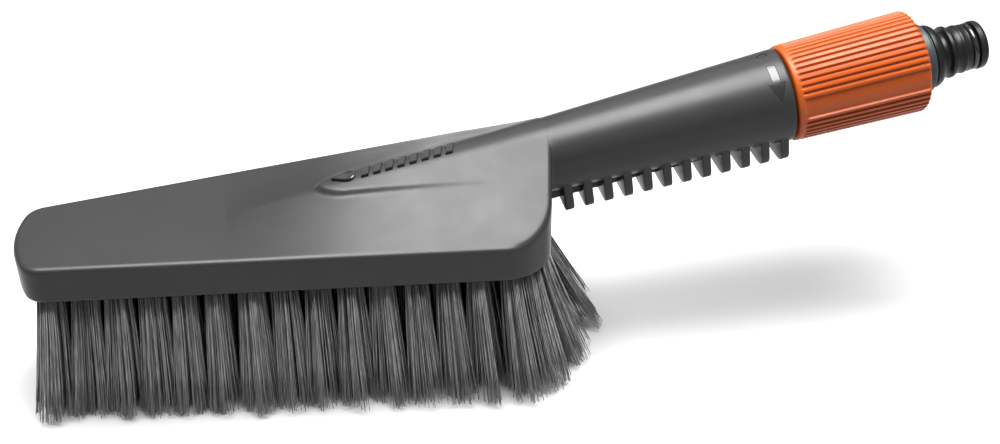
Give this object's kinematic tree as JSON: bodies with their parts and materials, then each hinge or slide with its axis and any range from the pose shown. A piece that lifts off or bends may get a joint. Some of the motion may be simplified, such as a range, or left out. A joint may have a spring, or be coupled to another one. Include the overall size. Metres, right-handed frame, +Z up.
{
  "type": "water-fed wash brush",
  "caption": "Hand-held wash brush with a tapered bristle head, a ribbed grip handle that carries water, a quarter-turn regulator knob and a hose nipple.",
  "frame": {"origin": "on the floor under the bristle tips, under the middle of the bounding box", "axes": "+X from the head along the brush to the hose nipple, +Y across the head, +Z up from the bristle tips to the top of the head"},
  "size_m": [0.335, 0.0868, 0.1087],
  "materials": {
    "body_plastic": "satin, fine grain",
    "bristles": "fine filaments",
    "valve_plastic": "satin",
    "valve_disc_plastic": "smooth",
    "nipple_plastic": "semi-gloss",
    "seal_rubber": "greased rubber",
    "knob_plastic": "satin",
    "pin_steel": "ground"
  },
  "bodies": {
    "brush": {"brush_body": "body_plastic", "bristle_plate": "body_plastic", "bristle_row_1": "bristles", "bristle_row_2": "bristles", "bristle_row_3": "bristles", "bristle_row_4": "bristles", "bristle_row_5": "bristles", "bristle_row_6": "bristles", "valve_body": "valve_plastic", "handle_seal_1": "seal_rubber", "handle_seal_2": "seal_rubber", "valve_seat_disc": "valve_disc_plastic", "knob_retaining_ring": "valve_plastic", "hose_nipple": "nipple_plastic", "nipple_seat_seal": "seal_rubber", "nipple_o_ring": "seal_rubber"},
    "regulator": {"regulator_knob": "knob_plastic", "valve_rotor": "valve_disc_plastic", "rotor_seal_1": "seal_rubber", "rotor_seal_2": "seal_rubber", "drive_pin_1": "pin_steel", "drive_pin_2": "pin_steel"}
  },
  "joints": [
    {"name": "knob_turn", "type": "hinge", "parent": "brush", "child": "regulator", "pos_m": [0.11309, 0, 0.08631], "axis": [0.9869, 0, 0.1616], "range_deg": [0, 90]}
  ]
}
